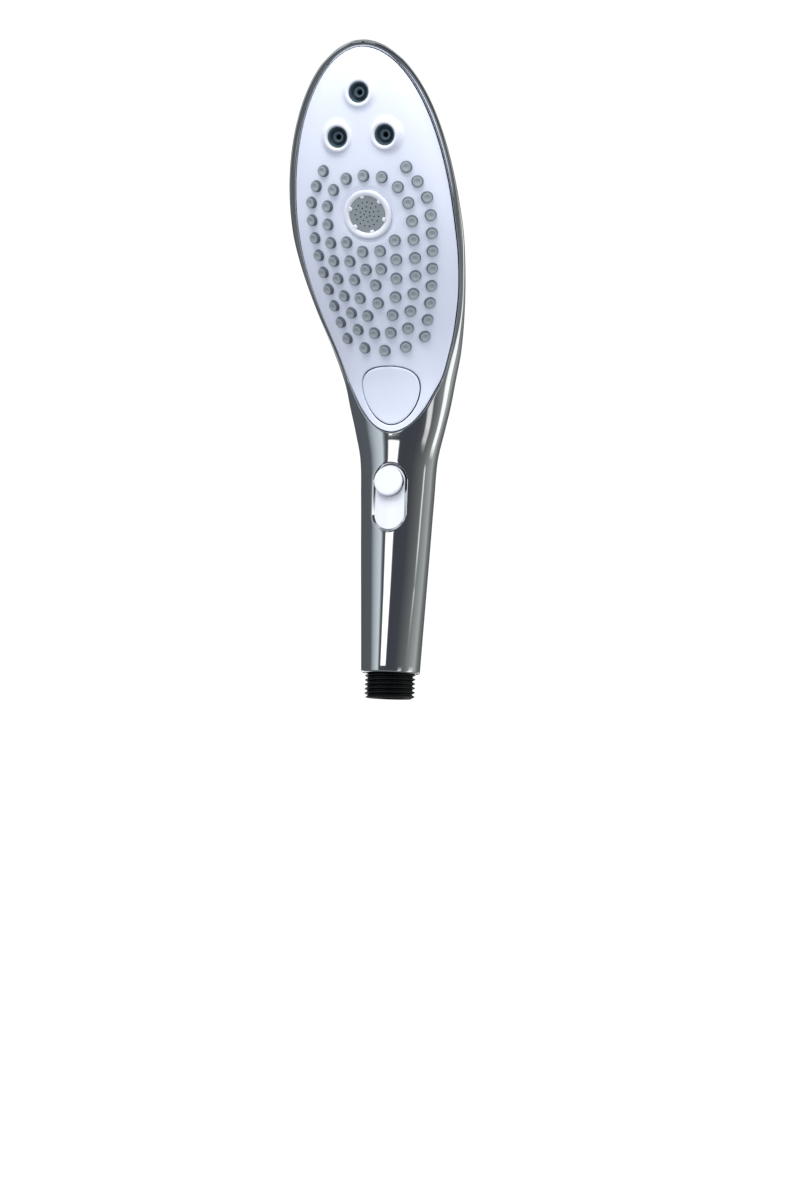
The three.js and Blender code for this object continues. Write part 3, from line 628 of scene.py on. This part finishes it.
def nozzle_field():
    """Rubber nozzles: a tapered stub with a rounded flat tip, a dimple and a spray hole."""
    piece = Piece("nozzle_field", NOZZLE_WALL_SHADE, NOZZLE)
    for x, z in NOZZLES:
        out = tangents(x, z)[2]
        base = skin(x, z)
        side = [(2.6, -0.9), (2.5, -0.35), (2.42, 0.02), (2.36, 0.3), (2.28, 0.7), (2.19, 1.05), (2.1, 1.35),
                (2.04, 1.48), (1.98, 1.56)]
        tip = [(1.98, 1.56), (1.9, 1.61), (1.78, 1.63), (1.45, 1.63), (1.16, 1.62), (1.04, 1.58), (0.95, 1.5),
               (0.86, 1.45), (0.5, 1.43), (0.2, 1.43)]
        inside = base - np.array(out)
        # the wall takes the darkened silicone, painted shade on the nozzle's side, and the tip its own grey
        turned(piece, side, base, out, sides=40, away=inside)
        turned(piece, tip, base, out, slot=1, sides=40, away=inside)
        turned(piece, [(0.2, 1.43), (0.17, 1.3), (0.0, 1.3)], base, out,
               slot=1, sides=40, away=inside)
    o = piece.make()
    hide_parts("nozzle_mat")
    return o


def jets():
    for name, (x, z) in JETS.items():
        piece = Piece("jet_" + name, SLATE, JET_HOLE_SHADE)
        socket = [(4.13, 0.35), (4.06, 0.52), (3.92, 0.6), (3.76, 0.54), (3.6, 0.3), (3.46, -0.2), (3.28, -1.2),
                  (3.1, -1.8), (2.8, -2.05), (2.5, -1.95), (2.36, -1.6), (2.28, -0.95), (2.18, -0.6), (2.0, -0.45),
                  (1.75, -0.42), (1.45, -0.5), (1.2, -0.7), (1.05, -1.05), (0.98, -1.5)]
        round_collar(piece, x, z, socket, sides=72, straight=True)
        # the hole's wall below 1.5 mm and its floor 3.4 mm down are near-black, painted shade
        round_collar(piece, x, z, [(0.98, -1.5), (0.94, -2.4), (0.85, -3.4), (0.0, -3.4)], slot=1, sides=72,
                     toward=skin(x, z, 20.0), straight=True)
        o = piece.make()
        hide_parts("jet_insert_" + name)


TAB_TURN = 41  # degrees to the first of the ring's six clips
DISC_HOLES = ((5, 1.3), (10, 3.0), (15, 4.9))  # rings of holes: how many, and their radius


def centre_insert():
    ring = Piece("centre_ring", BRIGHT)
    bead = [(10.07, -1.2), (10.06, -0.5), (10.03, -0.1), (9.93, 0.4), (9.75, 0.7), (9.5, 0.86), (9.2, 0.95),
            (8.85, 0.97), (8.45, 0.9), (8.1, 0.78), (7.8, 0.62), (7.58, 0.44), (7.46, 0.25), (7.42, -0.6)]
    round_collar(ring, 0, CENTRE_Z, bead, sides=128)
    out, r3, u3 = tangents(0, CENTRE_Z)[2:]
    middle = np.array(skin(0, CENTRE_Z))
    for k in range(6):
        turn = math.radians(TAB_TURN + 60 * k)
        along = np.array(r3) * math.cos(turn) + np.array(u3) * math.sin(turn)
        across = np.array(u3) * math.cos(turn) - np.array(r3) * math.sin(turn)
        # a rounded clip from the ring over the disc's edge
        rows = []
        for r, h, wide in ((7.9, 0.5, 0.95), (7.6, 0.46, 0.92), (7.3, 0.42, 0.88), (7.0, 0.39, 0.8),
                           (6.75, 0.36, 0.7), (6.6, 0.3, 0.58), (6.54, 0.2, 0.5), (6.54, -0.3, 0.5)):
            row = []
            for s, drop in ((-1.06, 0.9), (-1.03, 0.3), (-0.97, 0.1), (-0.8, 0.02), (-0.4, 0), (0, 0), (0.4, 0),
                            (0.8, 0.02), (0.97, 0.1), (1.03, 0.3), (1.06, 0.9)):
                row.append(middle + along * r + across * wide * s + np.array(out) * (h - drop))
            rows.append(row)
        ring.grid(np.array(rows), away=middle - np.array(out) * 30)
    o = ring.make()
    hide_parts("centre_spray_ring")

    disc = Piece("centre_disc", DISC, DISC_HOLE_SHADE)
    holes = []
    for count, radius in DISC_HOLES:
        for k in range(count):
            a = 2 * math.pi * (k + 0.5) / count
            holes.append((radius * math.cos(a), radius * math.sin(a)))
    holes = np.array(holes)
    rim, low, hole_r = 7.5, 0.12, 0.3
    r = np.linspace(0, rim, 64)
    a = np.linspace(0, 2 * math.pi, 220, endpoint=False)
    ring_of = np.cos(a)[:, None] * np.array(r3) + np.sin(a)[:, None] * np.array(u3)
    plane = [middle + radius * ring_of + np.array(out) * low for radius in r]

    def solid(centre):
        p = centre - middle
        q = np.stack([p @ np.array(r3), p @ np.array(u3)], 1)
        apart = q[:, None] - holes[None]
        return np.min(np.hypot(apart[..., 0], apart[..., 1]), 1) > hole_r + 0.14

    disc.grid(np.array(plane), wrap=True, away=middle - np.array(out) * 30, keep=solid)
    for x, y in holes:
        at = middle + x * np.array(r3) + y * np.array(u3) + np.array(out) * low
        turned(disc, [(hole_r + 0.32, 0.004), (hole_r + 0.16, 0.03), (hole_r + 0.05, 0.02), (hole_r, -0.04)], at, out,
               sides=16, away=at - np.array(out) * 9)
        # the hole's wall and its floor 0.7 mm down are near-black, painted shade
        turned(disc, [(hole_r, -0.04), (hole_r - 0.03, -0.7), (0, -0.7)], at, out, slot=1, sides=16,
               toward=at + np.array(out) * 9)
    o = disc.make()
    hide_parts("centre_spray_disc")


# ---- select button ----
def select_button():
    piece = Piece("select_button_cap", PLASTIC)
    loop = button_loop(-0.02)
    out = outward(loop)
    inner = loop - out * 1.0
    middle = np.array([0, BUTTON_Z])
    rows = []
    for f in np.linspace(0.001, 1, 40):
        p = middle + (inner - middle) * f
        rows.append(skin(p[:, 0], p[:, 1], 0.05 + 0.05 * (1 - f * f)))
    for d, h in ((-0.7, 0.045), (-0.48, 0.02), (-0.3, -0.04), (-0.16, -0.13), (-0.05, -0.27), (0, -0.45), (0, -1.2),
                 (0, -3.0)):
        rows.append(skin(loop[:, 0] + d * out[:, 0], loop[:, 1] + d * out[:, 1], h))
    piece.grid(np.array(rows), wrap=True, away=(0, 20, 125))
    o = piece.make("select")
    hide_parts("select_button")


# ---- flow slider ----
def slider():
    piece = Piece("slider_cap", BRIGHT, SATIN)
    at, out = (0, FRONT_Y, KNOB_Z), (0, -1, 0)
    cap = [(6.09, 1.1), (6.08, 1.6), (6.04, 1.85), (5.93, 2.06), (5.75, 2.19), (5.45, 2.27), (5.0, 2.3), (4.0, 2.29),
           (2.5, 2.28), (1.2, 2.27), (0.0, 2.27)]
    turned(piece, cap, at, out, sides=128, away=(0, FRONT_Y + 3, KNOB_Z))
    skirt = [(6.1, -0.9), (6.1, 0.2), (6.1, 0.9), (6.09, 1.1)]
    turned(piece, skirt, at, out, slot=1, sides=128, away=(0, FRONT_Y, KNOB_Z))
    o = piece.make("flow_slider")
    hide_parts("slider_knob")

    plate = Piece("slider_plate_cap", BRIGHT)
    deep, thick = 0.6, 0.9
    x = np.linspace(-7.5, 7.5, 61)
    z = np.linspace(69.0, 108.4, 100)
    arch = face_y(x, 83.0) + deep
    top = np.stack([np.stack([x, arch, np.full(len(x), h)], 1) for h in z])
    under = top + [0, thick, 0]
    plate.grid(top, away=(0, 30, 88))
    plate.grid(under, away=(0, -60, 88))
    for edge in (0, -1):
        plate.grid(np.array([top[edge], under[edge]]), away=(0, -10, 88))
        plate.grid(np.array([top[:, edge], under[:, edge]]), away=(0, -10, 88))
    o = plate.make("flow_slider")
    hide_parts("slider_plate")


# ---- threaded inlet ----
def inlet():
    piece = Piece("inlet_thread", THREAD)
    a = np.linspace(0, 2 * math.pi, 160, endpoint=False)
    z = np.linspace(0.35, 10.2, 180)[:, None]
    phase = z / THREAD_PITCH - a[None] / (2 * math.pi)
    wave = np.abs(2 * (phase - np.floor(phase)) - 1)
    t = np.clip(1.3 * wave - 0.15, 0, 1)
    t = t * t * (3 - 2 * t) * 0.35 + t * 0.65
    start = np.clip(z / 1.4, 0, 1) ** 0.5
    r = THREAD_R - THREAD_DEPTH * t - 0.55 * (1 - start)
    rows = np.stack([r * np.cos(a), r * np.sin(a), np.broadcast_to(z, r.shape)], -1)
    piece.grid(rows, wrap=True, away=(0, 0, 5))
    first = rows[0]
    radius = np.hypot(first[:, 0], first[:, 1])
    lip = [first]
    for k, low in ((0.15, 0.1), (0.4, 0.0)):
        q = first * ((radius - k) / radius)[:, None]
        lip.append(np.column_stack([q[:, :2], np.full(len(q), low)]))
    for inner, low in ((BORE_R + 0.3, 0.0), (BORE_R + 0.08, 0.08), (BORE_R, 0.3), (BORE_R, 11.0), (4.6, 20.0),
                       (4.6, 26.0)):
        lip.append(np.column_stack([inner * np.cos(a), inner * np.sin(a), np.full(len(a), low)]))
    piece.grid(np.array(lip[:4]), wrap=True, away=(0, 0, 20))
    piece.grid(np.array(lip[3:]), wrap=True, toward=(0, 0, 8))
    turned(piece, [(THREAD_R - 0.6, 10.2), (10.2, 10.4), (10.2, 26), (4.6, 26)], (0, 0, 0), (0, 0, 1),
           away=(0, 0, 15), sides=96)
    o = piece.make()
    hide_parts("inlet_connector")


housing()
faceplate()
nozzle_field()
jets()
centre_insert()
select_button()
slider()
inlet()

# ---- finishes of the CAD nodes that stay ----
FINISHES = {
    NATURAL: ["distribution_plate", "button_guide", "diverter_disc", "diverter_housing", "shift_pawl", "valve_body",
              "waterway_tube", "throttle_link"],
    BLACK_RUBBER: ["face_gasket", "diverter_seal_ring", "connector_oring", "regulator_oring", "spool_oring_lower",
                   "spool_oring_upper"],
    STEEL: ["chassis_screw_1", "chassis_screw_2", "chassis_screw_3", "chassis_screw_4", "button_spring"],
    GREEN: ["flow_regulator"],
    FILTER: ["inlet_filter", "throttle_spool"],
}
for finish, names in FINISHES.items():
    for name in names:
        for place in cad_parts[name].material_slots:
            place.material = finish

# ---- camera ----
AZIMUTH, ELEVATION, ROLL = (math.radians(v) for v in (18.048, -5.069, -2.222))
PLACE, FOCAL = Vector((-4.393, -40.951, -986.546)), 2.408  # the part's origin seen from the camera
IMAGE_HEIGHT, SENSOR = 1200, 36
scene = bpy.context.scene
back = Vector((math.sin(AZIMUTH) * math.cos(ELEVATION), -math.cos(AZIMUTH) * math.cos(ELEVATION),
               math.sin(ELEVATION)))
right = Vector((math.cos(AZIMUTH), math.sin(AZIMUTH), 0))
up = back.cross(right)
level = Matrix((right, up, back))
tilt = Matrix(((math.cos(ROLL), -math.sin(ROLL), 0), (math.sin(ROLL), math.cos(ROLL), 0), (0, 0, 1)))
view = tilt @ level
camera = bpy.data.objects.new("camera", bpy.data.cameras.new("camera"))
scene.collection.objects.link(camera)
camera.data.sensor_width = SENSOR
camera.data.lens = FOCAL * -PLACE.z / IMAGE_HEIGHT * SENSOR
camera.data.clip_start, camera.data.clip_end = 0.01, 50
camera.matrix_world = Matrix.Translation(view.transposed() @ -PLACE * MM) @ view.transposed().to_4x4()
scene.camera = camera


# ---- floor and light ----
def floor():
    mesh = bpy.data.meshes.new("floor")
    size, low = 40.0, -0.36
    mesh.from_pydata([(-size, -size, low), (size, -size, low), (size, size, low), (-size, size, low)], [],
                     [(0, 1, 2, 3)])
    mesh.materials.append(material("pale_floor", (0.90, 0.90, 0.90), 0.8, vary=0.005, scale=3, bump=0,
                                   Emission_Color=(1, 1, 1, 1), Emission_Strength=0.5))
    o = bpy.data.objects.new("floor", mesh)
    scene.collection.objects.link(o)
    o.visible_glossy = o.visible_diffuse = False


def area(name, bearing, height, distance, size, power, colour=(1, 1, 1)):
    """A soft panel at a bearing from the camera's side (positive to the right), aimed at the head."""
    turn = AZIMUTH + math.radians(bearing)
    rise = math.radians(height)
    aim = Vector((0, -0.04, 0.16))
    away = Vector((math.sin(turn) * math.cos(rise), -math.cos(turn) * math.cos(rise), math.sin(rise)))
    data = bpy.data.lights.new(name, "AREA")
    data.shape, data.size, data.size_y = "RECTANGLE", size[0], size[1]
    data.energy, data.color = power, colour
    o = bpy.data.objects.new(name, data)
    scene.collection.objects.link(o)
    o.location = aim + away * distance
    o.rotation_mode = "QUATERNION"
    o.rotation_quaternion = (-away).to_track_quat("-Z", "Y")
    o.visible_glossy = False
    o.visible_camera = False


def ramp(nodes, stops):
    r = nodes.new("ShaderNodeValToRGB")
    e = r.color_ramp.elements
    while len(e) < len(stops):
        e.new(0.5)
    for k, (at, value) in enumerate(stops):
        e[k].position = at
        e[k].color = (*(value if isinstance(value, tuple) else (value,) * 3), 1)
    return r


def studio():
    """White surroundings, with a studio of soft panels and dark flags for reflections."""
    world = bpy.data.worlds.new("studio")
    scene.world = world
    world.use_nodes = True
    nodes, links = world.node_tree.nodes, world.node_tree.links
    nodes.clear()

    def calc(operation, a, b=0.0):
        n = nodes.new("ShaderNodeMath")
        n.operation = operation
        for socket, value in zip(n.inputs, (a, b)):
            if isinstance(value, (int, float)):
                socket.default_value = value
            else:
                links.new(value, socket)
        return n.outputs[0]

    def along(position, *stops):
        r = ramp(nodes, stops)
        links.new(position, r.inputs["Fac"])
        return r.outputs["Color"]

    def mixed(amount, a, b):
        n = nodes.new("ShaderNodeMix")
        n.data_type = "RGBA"
        links.new(amount, n.inputs["Factor"])
        for socket, value in ((n.inputs["A"], a), (n.inputs["B"], b)):
            if isinstance(value, tuple):
                socket.default_value = value
            else:
                links.new(value, socket)
        return n.outputs["Result"]

    def light(colour, strength):
        n = nodes.new("ShaderNodeBackground")
        if isinstance(colour, tuple):
            n.inputs["Color"].default_value = colour
        else:
            links.new(colour, n.inputs["Color"])
        n.inputs["Strength"].default_value = strength
        return n.outputs[0]

    def either(ray, no, yes):
        n = nodes.new("ShaderNodeMixShader")
        links.new(path.outputs[ray], n.inputs["Fac"])
        links.new(no, n.inputs[1])
        links.new(yes, n.inputs[2])
        return n.outputs[0]

    place = nodes.new("ShaderNodeTexCoord")
    split = nodes.new("ShaderNodeSeparateXYZ")
    links.new(place.outputs["Generated"], split.inputs[0])
    # bearing from the camera's side, as a turn: 0.5 is behind the camera, more is to the right
    angle = calc("ARCTAN2", split.outputs["Y"], split.outputs["X"])
    turn = calc("ADD", calc("DIVIDE", calc("SUBTRACT", angle, AZIMUTH - math.pi / 2), 2 * math.pi), 1.5)
    turn = calc("FRACT", turn)
    height = calc("ADD", calc("MULTIPLY", split.outputs["Z"], 0.5), 0.5)
    at = lambda degrees: 0.5 + degrees / 360
    level = lambda degrees: 0.5 + math.sin(math.radians(degrees)) / 2
    # broad soft panels and dark flags round the horizon, over a floor and under a ceiling
    round_about = along(
        turn, (at(-180), (0.085, 0.095, 0.105)), (at(-86), (0.10, 0.115, 0.13)), (at(-76), (0.32, 0.36, 0.39)),
        (at(-66), (0.50, 0.56, 0.60)), (at(-53), (0.66, 0.73, 0.78)), (at(-49), (0.22, 0.24, 0.26)),
        (at(-46), (0.07, 0.08, 0.09)), (at(-10), (0.055, 0.06, 0.075)), (at(14), (0.06, 0.065, 0.075)),
        (at(50), (0.15, 0.155, 0.16)), (at(84), (0.32, 0.345, 0.34)), (at(104), (0.42, 0.44, 0.44)),
        (at(122), (0.20, 0.21, 0.21)), (at(150), (0.11, 0.12, 0.125)), (at(179), (0.085, 0.095, 0.105)))
    above_below = along(
        height, (0.0, (0.22, 0.23, 0.245)), (level(-50), (0.15, 0.16, 0.17)), (level(-22), (0.08, 0.09, 0.10)),
        (level(34), (0.10, 0.11, 0.12)), (level(44), (0.52, 0.56, 0.60)), (level(54), (0.66, 0.70, 0.74)),
        (level(60), (0.22, 0.24, 0.26)), (1.0, (0.36, 0.38, 0.40)))
    band = along(height, (0.0, 0.0), (level(-34), 0.0), (level(-14), 1.0), (level(30), 1.0), (level(38), 0.0),
                 (1.0, 0.0))
    base = mixed(band, above_below, round_about)
    # narrow bright strips, which give the handle's long highlights
    strip = along(turn, (0.0, 0.0), (at(-41.5), 0.0), (at(-40), 1.0), (at(-22), 1.0), (at(-20.5), 0.0),
                  (at(57), 0.0), (at(58.5), 0.5), (at(63), 0.5), (at(64.5), 0.0), (1.0, 0.0))
    strip_rise = along(height, (0.0, 0.0), (level(2.5), 0.0), (level(3.8), 1.0), (level(9), 1.0),
                       (level(12), 0.0), (1.0, 0.0))
    # panels round the back and low down, which shape the reflections from other sides
    rear = along(turn, (0.0, 0.0), (at(-176), 0.0), (at(-170), 0.75), (at(-146), 0.75), (at(-142), 0.0),
                 (at(26), 0.0), (at(30), 0.5), (at(40), 0.5), (at(43), 0.0),
                 (at(72), 0.0), (at(77), 0.75), (at(94), 0.75), (at(98), 0.0),
                 (at(142), 0.0), (at(146), 0.7), (at(157), 0.7), (at(160), 0.0), (1.0, 0.0))
    rear_rise = along(height, (0.0, 0.0), (level(-52), 0.0), (level(-42), 1.0), (level(-8), 1.0), (level(0), 0.0),
                      (1.0, 0.0))
    lit = calc("ADD", calc("MULTIPLY", strip, strip_rise), calc("MULTIPLY", rear, rear_rise))
    reflected = light(mixed(lit, base, (1.5, 1.5, 1.5, 1)), 1.0)
    # what lights the surfaces: a sky, dimmer and bluer towards the ground
    sky = along(height, (0.0, (0.50, 0.53, 0.57)), (level(-25), (0.62, 0.65, 0.70)), (level(0), (0.88, 0.91, 0.96)),
                (level(25), (1.0, 1.02, 1.04)), (1.0, (1.0, 1.02, 1.04)))
    path = nodes.new("ShaderNodeLightPath")
    seen = either("Is Glossy Ray", light(sky, FILL), reflected)
    seen = either("Is Camera Ray", seen, light((1, 1, 1, 1), 1.05))
    out = nodes.new("ShaderNodeOutputWorld")
    links.new(seen, out.inputs["Surface"])


FILL = 0.93  # strength of the light from all round
scene.view_settings.view_transform = "Standard"
floor()
studio()
area("key", -18, 46, 1.1, (0.7, 0.7), 9.5)
area("side", 55, 20, 1.6, (0.8, 0.8), 5.0)
